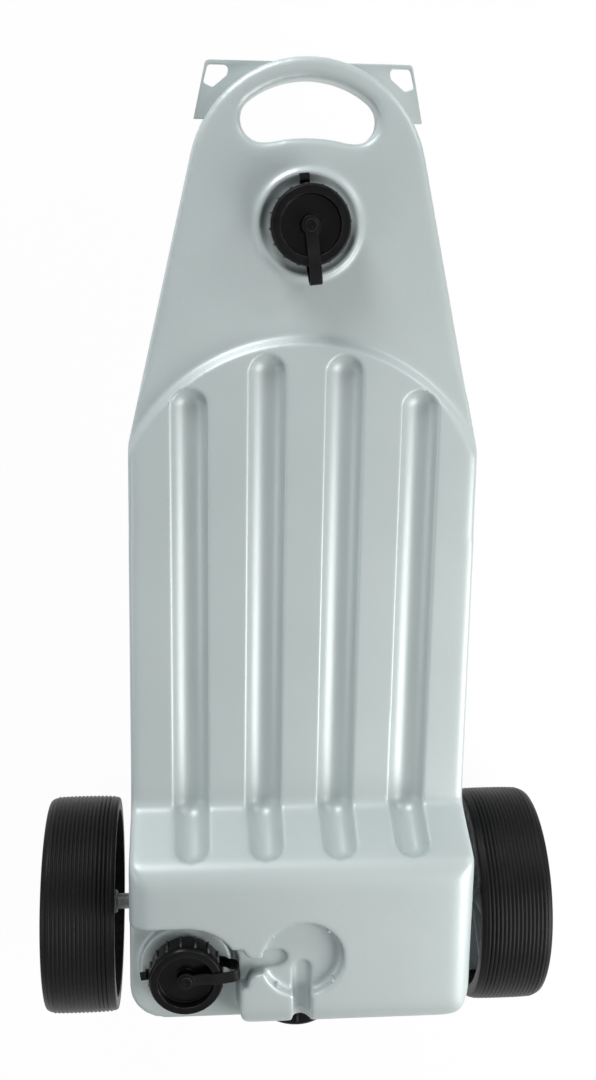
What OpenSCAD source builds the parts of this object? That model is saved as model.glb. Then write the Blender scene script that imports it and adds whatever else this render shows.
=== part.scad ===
// Wheeled waste-water carrier: a blow-moulded tank with three tethered screw caps
// and two wheels on a steel axle, lying on its back.
// +X is across, +Y runs towards the handle and +Z points out of the front face.
// "up" is a distance along +Y from the tank's bottom face, "deep" a height above the floor.

/* [Tank] */
// Length of the tank from its bottom face to the top of the handle
tank_len = 913; // [850:1:1100]
// Width of the tank at its bottom end
tank_w = 338; // [300:1:410]
// Width of the tank at its shoulders, where the neck starts
shoulder_w = 330; // [300:1:400]
// Distance of the shoulders from the bottom face
shoulder_up = 566; // [520:1:640]
// Thickness of the ribbed middle of the tank
slab_t = 170; // [150:1:205]
// Thickness of the box at the bottom end
box_t = 245; // [225:1:290]
// Distance of the box's front edge from the bottom face
box_up = 173; // [150:1:200]
// Length of the slope from the box down to the ribbed front
slope_len = 35; // [20:1:60]
// Drop from the ribbed front to the neck panel
neck_drop = 9.5; // [5:0.5:14]
// Thickness of the handle end
handle_t = 40; // [32:1:50]
// Wall thickness of the tank
wall = 3; // [2:0.5:4]
// Radius of the tank's bottom corners
corner_r = 36; // [20:1:48]

/* [Front arch and flutes] */
// Radius of the arch that ends the ribbed front
arch_r = 180; // [160:1:200]
// Distance of the arch's centre from the bottom face
arch_up = 487; // [440:1:520]
// Distance between neighbouring flutes
flute_pitch = 71.5; // [60:0.5:80]
// Radius of a flute's section
flute_r = 19; // [14:0.5:22]
// Depth of a flute
flute_depth = 15; // [10:0.5:18]
// Gap between a flute's round end and the arch
flute_end_gap = 8; // [4:1:20]

/* [Handle and ears] */
// Radius of the handle's outer arch
handle_r = 108; // [95:1:120]
// Height of the grip bar
grip_h = 19.5; // [16:0.5:26]
// Radius of the round ends of the hand hole
hand_end_r = 20; // [14:0.5:24]
// Distance of the hand hole's end centres from the middle
hand_end_x = 42; // [34:1:50]
// Width across the ears at their top edge
ear_w = 184; // [170:1:204]
// Distance of the ears' top edge below the top of the handle
ear_drop = 4.5; // [3:0.5:10]
// Thickness of an ear
ear_t = 4; // [3:0.5:6]
// Distance of an ear behind the neck panel
ear_deep = 20; // [12:1:28]

/* [Closures] */
// Outside radius of a spout
spout_r = 29; // [24:0.5:33]
// Wall thickness of a spout
spout_wall = 4; // [3:0.5:6]
// Height of a spout
spout_h = 14; // [12:0.5:20]
// Distance from a spout's outside to its cap's outside
cap_wall = 7.5; // [7:0.5:10]
// Thickness of a cap's top at its rim
cap_top_t = 12; // [11:0.5:15]
// Depth of the recess in a cap's face
dish_deep = 8.5; // [6:0.5:9]
// Thickness of the sealing washer
seal_t = 2; // [1:0.5:3]
// Distance of the filler cap from the top of the handle
filler_drop = 144; // [136:1:170]
// Distance of the corner cap from the tank's side
corner_in = 56; // [52:1:62]
// Distance of the corner cap from the bottom face
corner_up = 63; // [58:1:70]
// Depth of the corner recess below the box front
corner_deep = 30; // [26:1:36]
// Height of the seat that carries the corner spout
corner_boss_h = 8; // [4:1:12]
// Distance of the drain cap behind the box front
drain_deep = 86; // [70:1:110]
// Gap between a loose cap and the wall of its parking well
well_gap = 3; // [2:0.5:5]
// Depth of the parking well
well_deep = 12; // [8:0.5:16]
// Distance of the parking well from the bottom face
well_up = 79; // [70:1:86]
// Width of the two strap channels
channel_w = 17; // [14:0.5:20]
// Width of a tether strap
strap_w = 11; // [8:0.5:13]
// Thickness of a tether strap
strap_t = 2.5; // [1.5:0.5:3]
// Reach of a tether's fold beyond its cap
strap_reach = 13.5; // [12:0.5:20]
// Turn of the filler's strap away from the tank's middle line
filler_turn = 6.5; // [0:0.5:30]

/* [Wheels] */
// Outside diameter of a tyre
wheel_d = 220; // [200:1:250]
// Width of a tyre
tyre_w = 72; // [60:1:86]
// Thickness of a tyre
tyre_t = 9; // [6:0.5:14]
// Number of ribs round a tyre
tread_ribs = 15; // [8:1:18]
// Gap between the tank and a tyre
wheel_gap = 14; // [6:1:20]
// Distance of the axle from the tank's bottom face
axle_up = 71; // [60:1:90]
// Diameter of the axle
axle_d = 16; // [12:0.5:20]
// Number of spokes in a wheel
spokes = 8; // [5:1:12]

/* [Clearances] */
// Radial running clearance of a wheel, a cap and a swivel loop
run_gap = 0.06; // [0.02:0.01:0.1]
// Gap between faces that lie on each other
seat_gap = 0.1; // [0.05:0.05:0.3]
// Radial clearance of the axle in its tunnel and of a collar round its spout
loose_gap = 0.3; // [0.2:0.05:0.5]

/* [Hidden] */
$fn = 64;
far = 400;

tank_col = [0.72, 0.75, 0.77];
black_col = [0.06, 0.06, 0.07];
strap_col = [0.12, 0.12, 0.13];
rubber_col = [0.16, 0.16, 0.16];
hub_col = [0.70, 0.75, 0.78];
steel_col = [0.60, 0.61, 0.63];

wheel_r = wheel_d / 2;
axle_r = axle_d / 2;
axle_deep = wheel_r;
// The row's length runs from the wheels' lowest point to the top of the handle.
wheel_drop = wheel_r - axle_up;
bottom_y = wheel_drop - (tank_len + wheel_drop) / 2;
track_w = tank_w + 2 * (wheel_gap + tyre_w);

neck_deep = slab_t - neck_drop;
handle_up = tank_len - handle_r;
slope_up = box_up + slope_len;
slope_a = atan2(box_t - slab_t, -slope_len);
back_start = 185;
foot_deep = 72;
back_end = shoulder_up;
neck_thin_up = tank_len - 88;
lip_r = 28;
crest_r = 16;
fold_r = 12;
back_r = 30;

hand_r = handle_r - grip_h;
hand_end_up = handle_up + sqrt(pow(hand_r - hand_end_r, 2) - pow(hand_end_x, 2));
hand_sill_r = 138;
hand_sill_up = hand_end_up - hand_end_r + 5 - hand_sill_r;
ear_up = tank_len - ear_drop;
ear_corner_r = 4;

flute_rise = flute_r - flute_depth;
spout_bore_r = spout_r - spout_wall;
cap_r = spout_r + cap_wall;
well_r = cap_r + well_gap;
corner_x = tank_w / 2 - corner_in;
filler_up = tank_len - filler_drop;
filler_ring_r = cap_r + 9.5;
filler_ring_h = 4;
recess_r = cap_r + 21.5;
recess_up = corner_up + recess_r;
corner_seat_deep = box_t - corner_deep + corner_boss_h;
corner_boss_r = cap_r + 8.5;
drain_z = box_t - drain_deep;
well_a = atan2(well_up - corner_up, corner_x);
channel_deep = well_deep + 5;
channel_r = channel_w / 2;
channel_end = well_r - 16;
nib_r = 2.2;

collar_t = 2.7;
collar_r = spout_r + loose_gap + 3.7;
collar_tab_r = cap_r + 5.5;
skirt_z = seat_gap + collar_t + 0.8;
seal_z = spout_h + seat_gap;
seal_r = spout_r - 0.5;
cap_in_z = seal_z + seal_t;
cap_z = cap_in_z + cap_top_t;
cap_ribs = 16;
cap_rib_t = 1.5;
cap_rib_w = 2;
cap_chamfer = 4;
cap_rib_z = skirt_z + 0.5;
cap_rib_h = cap_z - cap_chamfer - 1 - cap_rib_z;
cap_skirt_r = cap_r - cap_rib_t;
flange_r = cap_r - 0.8;
flange_z = cap_z - 9;
cap_face_r = cap_r - 2.5;
dish_r = cap_face_r - 7;
stud_r = 4.2;
stud_head_r = 5.8;
stud_head_t = 1.6;
loop_r = 9.5;
loop_z = cap_z - 4;
loop_step_x = dish_r - 2;
strap_z = cap_z + seat_gap;
fold_x = cap_r + strap_reach;

tyre_in_r = wheel_r - tyre_t;
rim_t = 3.5;
web_t = 4;
hub_r = 14;
hub_x0 = tank_w / 2 + wheel_gap + 6;
hub_x1 = track_w / 2 - 10;
tyre_x0 = tank_w / 2 + wheel_gap;
clip_t = 2;
washer_t = 1.5;
axle_end = track_w / 2 - 3;

function unit(v) = v / norm(v);

// Points of the arc of radius r that rounds the corner at b between a and c.
function corner_arc(a, b, c, r, n) =
    let (u = unit(a - b), w = unit(c - b), half = acos(u * w) / 2,
         mid = b + unit(u + w) * r / sin(half), p = b + u * r / tan(half),
         q = b + w * r / tan(half), a0 = atan2(p.y - mid.y, p.x - mid.x),
         turn = (atan2(q.y - mid.y, q.x - mid.x) - a0 + 540) % 360 - 180)
    [for (i = [0:n]) mid + r * [cos(a0 + turn * i / n), sin(a0 + turn * i / n)]];

// A closed outline whose corners [x, y, radius, steps] are rounded.
function rounded(c) =
    [for (i = [0:len(c) - 1])
        let (n = len(c), a = c[(i + n - 1) % n], b = c[i], d = c[(i + 1) % n])
        each b[2] > 0
            ? corner_arc([a.x, a.y], [b.x, b.y], [d.x, d.y], b[2], b[3])
            : [[b.x, b.y]]];

// Where the two straight sides of the neck would meet above the handle.
function apex_up(w, r) =
    let (rise = handle_up - shoulder_up,
         lean = atan2(rise, -w) - asin(r / norm([w, rise])))
    shoulder_up - w * tan(lean);

// Front outline of the tank, drawn in by t.
module front_outline(t) {
    w = tank_w / 2 - t;
    s = shoulder_w / 2 - t;
    r = handle_r - t;
    polygon(rounded([[-w, t, corner_r - t, 8], [w, t, corner_r - t, 8],
                     [s, shoulder_up, 30, 4], [0, apex_up(s, r), r, 32],
                     [-s, shoulder_up, 30, 4]]));
}

// Side profile of the tank as [up, deep], drawn in by t.
module side_profile(t) {
    lean = t / tan(slope_a / 2);
    polygon(rounded([[t, foot_deep + t / 2, back_r, 5], [back_start + t / 3, t, back_r, 5],
                     [back_end - t / 2, t, 60, 6], [neck_thin_up, neck_deep - handle_t + t, 60, 6],
                     [tank_len, neck_deep - handle_t + t, 0, 0], [tank_len, slab_t - t, 0, 0],
                     [slope_up - lean, slab_t - t, fold_r + t, 5],
                     [box_up - lean, box_t - t, crest_r - t, 5], [t, box_t - t, lip_r - t, 5]]));
}

// The region above the ribbed front, beyond its arch.
module above_arch(t) {
    difference() {
        translate([-far, arch_up])
            square([2 * far, far + tank_len]);
        translate([0, arch_up])
            circle(arch_r - t, $fn = 128);
    }
}

// The tank as a solid, drawn in by t.
module tank_form(t) {
    difference() {
        intersection() {
            linear_extrude(far)
                front_outline(t);
            translate([-far, 0, 0])
                rotate([90, 0, 90])
                    linear_extrude(2 * far)
                        side_profile(t);
        }
        translate([0, 0, neck_deep - t])
            linear_extrude(far)
                above_arch(t);
    }
}

// The hand hole, grown by t.
module hand_hole(t) {
    for (s = [-1, 1])
        translate([s * hand_end_x, hand_end_up])
            circle(hand_end_r + t);
    difference() {
        intersection() {
            translate([-hand_end_x, hand_end_up - hand_end_r - t])
                square([2 * hand_end_x, tank_len]);
            translate([0, handle_up])
                circle(hand_r + t, $fn = 128);
        }
        translate([0, hand_sill_up])
            circle(hand_sill_r - t, $fn = 128);
    }
}

// One flute, grown by t: a round groove up the front that bends down onto the slope.
module flute(x, t) {
    top = arch_up + sqrt(pow(arch_r, 2) - x * x) - flute_end_gap - flute_r;
    bend = slope_up + flute_rise / tan(slope_a / 2);
    run = (box_t - slab_t) / sin(slope_a) - 2 * flute_r;
    translate([x, bend, slab_t + flute_rise]) {
        sphere(flute_r + t);
        rotate([-90, 0, 0])
            cylinder(r = flute_r + t, h = top - bend);
        translate([0, top - bend, 0])
            sphere(flute_r + t);
        rotate([90 - slope_a, 0, 0]) {
            cylinder(r = flute_r + t, h = run);
            translate([0, 0, run])
                sphere(flute_r + t);
        }
    }
}

module flutes(t) {
    for (k = [-1.5, -0.5, 0.5, 1.5])
        flute(k * flute_pitch, t);
}

// The cut-away corner of the box, grown by t.
module corner_recess(t) {
    translate([-corner_x, corner_up])
        circle(recess_r + t, $fn = 96);
    translate([-far, -far])
        square([far - corner_x + recess_r + t, far + corner_up]);
    translate([-far, 0])
        square([far - corner_x, recess_up + t]);
}

// A strap channel with a round end, grown by t, running towards -X.
module channel(len, t) {
    circle(channel_r + t);
    translate([-len, -channel_r - t])
        square([len, channel_w + 2 * t]);
}

// Everything sunk into the box front, grown by t.
module box_sinks(t) {
    translate([0, 0, box_t - corner_deep - t])
        linear_extrude(far)
            corner_recess(t);
    translate([0, well_up, box_t - well_deep - t])
        cylinder(r = well_r + t, h = far);
    translate([0, well_up, box_t - channel_deep - t])
        linear_extrude(far) {
            rotate(well_a)
                translate([-channel_end, 0])
                    channel(corner_x - channel_end, t);
            translate([0, -channel_r - 7])
                rotate(90)
                    channel(far, t);
        }
}

// Places a child whose +Z is the axis of the filler, corner or drain spout.
module at_filler() {
    translate([0, filler_up, neck_deep])
        rotate(filler_turn - 90)
            children();
}
module at_corner() {
    translate([-corner_x, corner_up, corner_seat_deep])
        rotate(well_a)
            children();
}
module at_drain() {
    translate([0, 0, drain_z])
        rotate([90, 90, 0])
            children();
}
module at_spouts() {
    at_filler() children();
    at_corner() children();
    at_drain() children();
}

module nibs() {
    for (a = [50:90:320])
        translate([0, well_up, box_t - well_deep])
            rotate(a)
                translate([well_r, 0, 0])
                    cylinder(r = nib_r, h = well_deep - 1.5);
}

module ears() {
    slant = (shoulder_w / 2 - ear_w / 2) / (ear_up - shoulder_up);
    low = 56;
    for (s = [0, 1])
        mirror([s, 0, 0])
            translate([0, 0, neck_deep - ear_deep])
                linear_extrude(ear_t)
                    difference() {
                        polygon(rounded([[ear_w / 2 - 50, ear_up, 0, 0],
                                         [ear_w / 2 - 18, ear_up - low, 0, 0],
                                         [ear_w / 2 + low * slant, ear_up - low, 0, 0],
                                         [ear_w / 2, ear_up, ear_corner_r, 4]]));
                        polygon(rounded([[ear_w / 2 - 21, ear_up - 4, 4, 4],
                                         [ear_w / 2 - 19, ear_up - 12.5, 4, 4],
                                         [ear_w / 2 - 6, ear_up - 23, 3, 4],
                                         [ear_w / 2 + 2, ear_up - 19.5, 2.5, 4],
                                         [ear_w / 2 - 2, ear_up - 4, 3, 4]]));
                    }
}

// The raised ring round the filler dish.
module filler_ring() {
    rotate_extrude()
        translate([filler_ring_r, 0])
            polygon([[-3.6, -1], [4.6, -1], [2, filler_ring_h], [-1.6, filler_ring_h]]);
}

module tank_solid() {
    difference() {
        union() {
            difference() {
                tank_form(0);
                box_sinks(0);
                flutes(0);
            }
            nibs();
            ears();
            at_spouts()
                translate([0, 0, -1])
                    cylinder(r = spout_r, h = spout_h + 1);
            at_filler()
                filler_ring();
            translate([-corner_x, corner_up, corner_seat_deep - corner_boss_h - 1])
                cylinder(r = corner_boss_r, h = corner_boss_h + 1);
        }
        translate([0, 0, -1])
            linear_extrude(far)
                hand_hole(0);
    }
}

module tank_inside() {
    difference() {
        tank_form(wall);
        box_sinks(wall);
        flutes(wall);
        linear_extrude(far)
            hand_hole(wall);
        translate([-far, axle_up, axle_deep])
            rotate([0, 90, 0])
                cylinder(r = axle_r + loose_gap + wall, h = 2 * far);
    }
}

module tank_shell() {
    color(tank_col)
        place()
            difference() {
                tank_solid();
                tank_inside();
                at_spouts()
                    translate([0, 0, -corner_boss_h - wall - 2])
                        cylinder(r = spout_bore_r, h = far);
                translate([-far, axle_up, axle_deep])
                    rotate([0, 90, 0])
                        cylinder(r = axle_r + loose_gap, h = 2 * far);
            }
}

// Moves "up" from the bottom face to the row's own Y.
module place() {
    translate([0, bottom_y, 0])
        children();
}

module cap() {
    color(black_col)
        difference() {
            union() {
                rotate_extrude()
                    polygon([[0, skirt_z], [cap_skirt_r, skirt_z], [cap_skirt_r, flange_z],
                             [flange_r, flange_z + 1], [flange_r, cap_z - cap_chamfer],
                             [cap_face_r + 1, cap_z - 1], [cap_face_r, cap_z],
                             [dish_r, cap_z], [dish_r, cap_z - dish_deep],
                             [0, cap_z - dish_deep]]);
                for (i = [0:cap_ribs - 1])
                    rotate(i * 360 / cap_ribs)
                        translate([cap_skirt_r - 1, -cap_rib_w / 2, cap_rib_z])
                            cube([cap_rib_t + 1, cap_rib_w, cap_rib_h]);
                translate([0, 0, cap_z - dish_deep - 0.5])
                    cylinder(r = stud_r, h = loop_z + strap_t + 1 - cap_z + dish_deep);
                translate([0, 0, loop_z + strap_t + seat_gap])
                    cylinder(r = stud_head_r, h = stud_head_t);
            }
            translate([0, 0, -1])
                cylinder(r = spout_r + run_gap, h = cap_in_z + 1);
        }
}

module seal() {
    color(rubber_col)
        translate([0, 0, seal_z])
            difference() {
                cylinder(r = seal_r, h = seal_t);
                translate([0, 0, -1])
                    cylinder(r = spout_bore_r - 1, h = seal_t + 2);
            }
}

// Collar round the foot of the spout, with its pull tab and the fixed half of the strap.
module tether() {
    riser_x = cap_r + 2;
    shelf_z = filler_ring_h + 4;
    color(strap_col)
        translate([0, 0, seat_gap]) {
            difference() {
                union() {
                    cylinder(r = collar_r, h = collar_t);
                    translate([-collar_tab_r, -strap_w / 2 + 1, 0])
                        cube([collar_tab_r, strap_w - 2, collar_t]);
                    translate([0, -strap_w / 2, 0])
                        cube([riser_x + strap_t, strap_w, collar_t]);
                }
                translate([0, 0, -1])
                    cylinder(r = spout_r + loose_gap, h = collar_t + 2);
            }
            translate([riser_x, -strap_w / 2, 0])
                cube([strap_t, strap_w, shelf_z]);
            translate([riser_x, -strap_w / 2, shelf_z])
                cube([fold_x + strap_t - riser_x, strap_w, strap_t]);
            translate([fold_x, -strap_w / 2, shelf_z])
                cube([strap_t, strap_w, strap_z - shelf_z - 2 * seat_gap]);
        }
}

// Swivel loop round the stud, with the half of the strap that lifts with the cap.
module loop() {
    color(strap_col)
        difference() {
            union() {
                translate([0, 0, loop_z])
                    cylinder(r = loop_r, h = strap_t);
                translate([0, -strap_w / 2, loop_z])
                    cube([loop_step_x, strap_w, strap_t]);
                translate([loop_step_x - strap_t, -strap_w / 2, loop_z])
                    cube([strap_t, strap_w, strap_z + strap_t - loop_z]);
                translate([loop_step_x - strap_t, -strap_w / 2, strap_z])
                    cube([fold_x + 2 * strap_t - loop_step_x, strap_w, strap_t]);
            }
            translate([0, 0, loop_z - 1])
                cylinder(r = stud_r + run_gap, h = strap_t + 2);
        }
}

// Places a child whose +Z points outwards along the axle, on side -1 or 1.
module at_axle(side) {
    translate([0, bottom_y + axle_up, axle_deep])
        rotate([0, side * 90, 0])
            children();
}

module axle() {
    color(steel_col)
        at_axle(1)
            translate([0, 0, -axle_end])
                cylinder(r = axle_r, h = 2 * axle_end);
}

module wheel_hub(side) {
    color(hub_col)
        at_axle(side)
            difference() {
                union() {
                    translate([0, 0, tyre_x0 + 2])
                        difference() {
                            cylinder(r = tyre_in_r - seat_gap, h = tyre_w - 4, $fn = 128);
                            translate([0, 0, -1])
                                cylinder(r = tyre_in_r - seat_gap - rim_t, h = tyre_w, $fn = 128);
                        }
                    translate([0, 0, tyre_x0 + tyre_w / 2 - web_t / 2])
                        cylinder(r = tyre_in_r - 1, h = web_t, $fn = 128);
                    translate([0, 0, hub_x0])
                        cylinder(r = hub_r, h = hub_x1 - hub_x0);
                    for (i = [0:spokes - 1])
                        rotate(i * 360 / spokes)
                            translate([hub_r - 1, -1.5, tyre_x0 + 12])
                                cube([tyre_in_r - hub_r - 1, 3, tyre_w - 24]);
                }
                cylinder(r = axle_r + run_gap, h = far);
            }
}

module tyre(side) {
    pitch = (tyre_w - 8) / tread_ribs;
    groove = 1.3;
    tread = [for (i = [0:tread_ribs - 1])
        each [[wheel_r, 4 + pitch * (i + 0.12)], [wheel_r, 4 + pitch * (i + 0.62)],
              [wheel_r - groove, 4 + pitch * (i + 0.72)],
              [wheel_r - groove, 4 + pitch * (i + 1.02)]]];
    color(rubber_col)
        at_axle(side)
            translate([0, 0, tyre_x0])
                rotate_extrude($fn = 128)
                    polygon(concat([[tyre_in_r, 0], [wheel_r - 4, 0], [wheel_r - 1.6, 1.6]],
                                   tread,
                                   [[wheel_r - 1.6, tyre_w - 1.6], [wheel_r - 4, tyre_w],
                                    [tyre_in_r, tyre_w]]));
}

module ring_on_axle(side, x, r, t) {
    color(steel_col)
        at_axle(side)
            translate([0, 0, x])
                difference() {
                    cylinder(r = r, h = t);
                    translate([0, 0, -1])
                        cylinder(r = axle_r + run_gap, h = t + 2);
                }
}
module inner_clip(side) {
    ring_on_axle(side, hub_x0 - clip_t - loose_gap, axle_r + 4, clip_t);
}
module outer_washer(side) {
    ring_on_axle(side, hub_x1 + loose_gap, axle_r + 5, washer_t);
}

// Domed cap pushed onto the end of the axle.
module axle_cap(side) {
    foot = hub_x1 + loose_gap + washer_t + seat_gap;
    color(black_col)
        at_axle(side)
            difference() {
                rotate_extrude()
                    polygon([[0, foot], [axle_r + 4, foot], [axle_r + 4, axle_end - 1],
                             [axle_r, axle_end + 2], [0, axle_end + 2.6]]);
                translate([0, 0, foot - 1])
                    cylinder(r = axle_r + run_gap, h = axle_end - foot + 1 + seat_gap);
            }
}

module wheel_hub_left() { wheel_hub(-1); }
module wheel_hub_right() { wheel_hub(1); }
module tyre_left() { tyre(-1); }
module tyre_right() { tyre(1); }
module inner_clip_left() { inner_clip(-1); }
module inner_clip_right() { inner_clip(1); }
module outer_washer_left() { outer_washer(-1); }
module outer_washer_right() { outer_washer(1); }
module axle_cap_left() { axle_cap(-1); }
module axle_cap_right() { axle_cap(1); }
module filler_cap() { place() at_filler() cap(); }
module filler_seal() { place() at_filler() seal(); }
module filler_tether() { place() at_filler() tether(); }
module filler_loop() { place() at_filler() loop(); }
module corner_cap() { place() at_corner() cap(); }
module corner_seal() { place() at_corner() seal(); }
module corner_tether() { place() at_corner() tether(); }
module corner_loop() { place() at_corner() loop(); }
module drain_cap() { place() at_drain() cap(); }
module drain_seal() { place() at_drain() seal(); }
module drain_tether() { place() at_drain() tether(); }
module drain_loop() { place() at_drain() loop(); }

tank_shell();
axle();
wheel_hub_left();
wheel_hub_right();
tyre_left();
tyre_right();
inner_clip_left();
inner_clip_right();
outer_washer_left();
outer_washer_right();
axle_cap_left();
axle_cap_right();
filler_cap();
filler_seal();
filler_tether();
filler_loop();
corner_cap();
corner_seal();
corner_tether();
corner_loop();
drain_cap();
drain_seal();
drain_tether();
drain_loop();
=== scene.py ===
"""Looks of a wheeled waste-water carrier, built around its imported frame."""

import math

import bpy
from mathutils import Matrix, Vector


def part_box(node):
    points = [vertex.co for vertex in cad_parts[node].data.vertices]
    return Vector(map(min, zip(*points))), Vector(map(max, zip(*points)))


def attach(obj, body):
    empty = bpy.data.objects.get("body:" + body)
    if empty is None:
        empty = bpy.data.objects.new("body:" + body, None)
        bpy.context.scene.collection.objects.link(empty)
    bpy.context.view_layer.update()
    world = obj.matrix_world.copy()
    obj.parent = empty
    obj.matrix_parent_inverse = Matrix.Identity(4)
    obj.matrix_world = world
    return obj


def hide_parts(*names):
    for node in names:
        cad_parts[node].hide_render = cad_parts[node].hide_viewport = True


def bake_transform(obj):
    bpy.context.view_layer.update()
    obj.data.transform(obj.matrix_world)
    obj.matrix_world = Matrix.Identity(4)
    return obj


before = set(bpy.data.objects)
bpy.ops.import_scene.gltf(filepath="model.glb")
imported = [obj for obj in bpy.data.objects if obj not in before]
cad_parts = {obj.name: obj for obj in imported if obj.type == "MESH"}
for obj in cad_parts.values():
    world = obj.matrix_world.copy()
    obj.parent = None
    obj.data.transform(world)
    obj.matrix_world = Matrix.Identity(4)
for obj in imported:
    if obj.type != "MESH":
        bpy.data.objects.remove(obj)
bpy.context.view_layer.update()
bpy.ops.object.select_all(action="DESELECT")

mm = 0.001

# ---------------------------------------------------------------- sizes from the frame

tank_low, tank_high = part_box("tank_shell")
filler_low, filler_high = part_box("filler_seal")
corner_low, corner_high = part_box("corner_seal")
drain_low, drain_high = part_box("drain_seal")
axle_low, axle_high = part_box("axle")
tyre_low, tyre_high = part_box("tyre_right")
hub_low, hub_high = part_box("wheel_hub_right")

SPOUT_H = 14 * mm
SEAT_GAP = 0.1 * mm
SEAL_Z = SPOUT_H + SEAT_GAP
HALF_W = tank_high.x
TOP = tank_high.y
BOTTOM = drain_high.y + SEAL_Z
TANK_LEN = TOP - BOTTOM
BOX_FRONT = tank_high.z
SLAB = 170 * mm
NECK = filler_low.z - SEAL_Z
HANDLE_T = 40 * mm
SHOULDER_W = HALF_W - 4 * mm
SHOULDER_Y = BOTTOM + 566 * mm
CORNER_R = 36 * mm
HANDLE_R = 108 * mm
HANDLE_Y = TOP - HANDLE_R
ARCH_R = 180 * mm
ARCH_Y = BOTTOM + 487 * mm
BOX_Y = BOTTOM + 173 * mm
SLOPE_Y = BOX_Y + 35 * mm
FLUTE_R = 18.5 * mm
FLUTE_RISE = 6.5 * mm
FLUTE_PITCH = 71.5 * mm
STEP = SLAB - NECK
GRIP_H = 19.5 * mm
HAND_END_R = 20 * mm
HAND_END_X = 42 * mm
FAR = 0.5

SPOUT_R = 29 * mm
SPOUT_BORE_R = 25 * mm
CAP_R = 36.5 * mm
CAP_Z = 28.1 * mm
SKIRT_Z = 3.6 * mm
DISH_R = 27 * mm
DISH_Z = CAP_Z - 8.5 * mm
STRAP_W = 11 * mm
STRAP_T = 2.5 * mm
LOOP_Z = CAP_Z - 4 * mm
FOLD_X = CAP_R + 13.5 * mm

WELL_R = CAP_R + 3 * mm
WELL_Y = BOTTOM + 79 * mm
WELL_FLOOR = BOX_FRONT - 12 * mm
CHANNEL_FLOOR = BOX_FRONT - 17 * mm
CHANNEL_R = 8.5 * mm
RECESS_FLOOR = BOX_FRONT - 30 * mm
RECESS_R = CAP_R + 21.5 * mm

corner_point = (corner_low + corner_high) / 2
corner_point.z = corner_low.z - SEAL_Z
filler_point = (filler_low + filler_high) / 2
filler_point.z = NECK
drain_point = (drain_low + drain_high) / 2
drain_point.y = BOTTOM
WELL_TURN = math.atan2(WELL_Y - corner_point.y, -corner_point.x)
FILLER_TURN = math.radians(6.5 - 90)

filler_place = Matrix.Translation(filler_point) @ Matrix.Rotation(FILLER_TURN, 4, "Z")
corner_place = Matrix.Translation(corner_point) @ Matrix.Rotation(WELL_TURN, 4, "Z")
drain_turn = Matrix(((0, 1, 0), (0, 0, -1), (-1, 0, 0)))
drain_place = Matrix.Translation(drain_point) @ drain_turn.to_4x4()
side_turn = Matrix(((0, 0, 1), (1, 0, 0), (0, 1, 0))).to_4x4()
CLOSURES = {"filler": filler_place, "corner": corner_place, "drain": drain_place}
AXLE_Y = (axle_low.y + axle_high.y) / 2
AXLE_Z = (axle_low.z + axle_high.z) / 2


# ---------------------------------------------------------------- camera, floor and lights

def make_camera():
    data = bpy.data.cameras.new("camera")
    data.lens = 41.81
    data.sensor_width = 36
    camera = bpy.data.objects.new("camera", data)
    camera.location = (-0.1077, 0.3324, 1.3163)
    camera.rotation_euler = [math.radians(a) for a in (-14.2105, -4.8577, 0.9496)]
    bpy.context.scene.collection.objects.link(camera)
    bpy.context.scene.camera = camera


def make_light(name, place, aim, size, watts, colour):
    data = bpy.data.lights.new(name, "AREA")
    data.size = size
    data.energy = watts
    data.color = colour
    light = bpy.data.objects.new(name, data)
    light.location = place
    light.rotation_euler = (Vector(aim) - Vector(place)).to_track_quat("-Z", "Y").to_euler()
    bpy.context.scene.collection.objects.link(light)


def make_lights():
    make_light("key_right", (1.0, -0.5, 0.85), (0, -0.1, 0.15), 0.8, 17, (1, 0.985, 0.965))
    make_light("top_right", (1.2, 1.1, 0.75), (0, 0.1, 0.1), 0.4, 5, (1, 1, 1))
    make_light("top_low", (-0.8, 2.1, 0.75), (0, -0.1, 0.1), 0.8, 38, (1, 1, 1))
    make_light("side_left", (-1.2, -0.3, 0.8), (0, -0.1, 0.1), 0.5, 2.5, (0.97, 0.99, 1))
    world = bpy.data.worlds.new("studio")
    bpy.context.scene.world = world
    world.use_nodes = True
    nodes, links = world.node_tree.nodes, world.node_tree.links
    nodes.clear()
    out = nodes.new("ShaderNodeOutputWorld")
    white = nodes.new("ShaderNodeBackground")
    white.inputs["Color"].default_value = (1, 1, 1, 1)
    white.inputs["Strength"].default_value = 1
    soft = nodes.new("ShaderNodeBackground")
    soft.inputs["Color"].default_value = (0.92, 0.97, 1, 1)
    soft.inputs["Strength"].default_value = 0.16
    links.new(seen_directly(nodes, links), mix_shader(nodes, links, soft, white, out).inputs["Fac"])


def seen_directly(nodes, links):
    """1 for rays from the camera, from a gloss or through glass."""
    path = nodes.new("ShaderNodeLightPath")
    either = nodes.new("ShaderNodeMath")
    either.operation = "MAXIMUM"
    links.new(path.outputs["Is Camera Ray"], either.inputs[0])
    links.new(path.outputs["Is Glossy Ray"], either.inputs[1])
    any_of = nodes.new("ShaderNodeMath")
    any_of.operation = "MAXIMUM"
    links.new(either.outputs[0], any_of.inputs[0])
    links.new(path.outputs["Is Transmission Ray"], any_of.inputs[1])
    return any_of.outputs[0]


def mix_shader(nodes, links, first, second, out):
    mix = nodes.new("ShaderNodeMixShader")
    links.new(first.outputs[0], mix.inputs[1])
    links.new(second.outputs[0], mix.inputs[2])
    links.new(mix.outputs[0], out.inputs["Surface"])
    return mix


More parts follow.
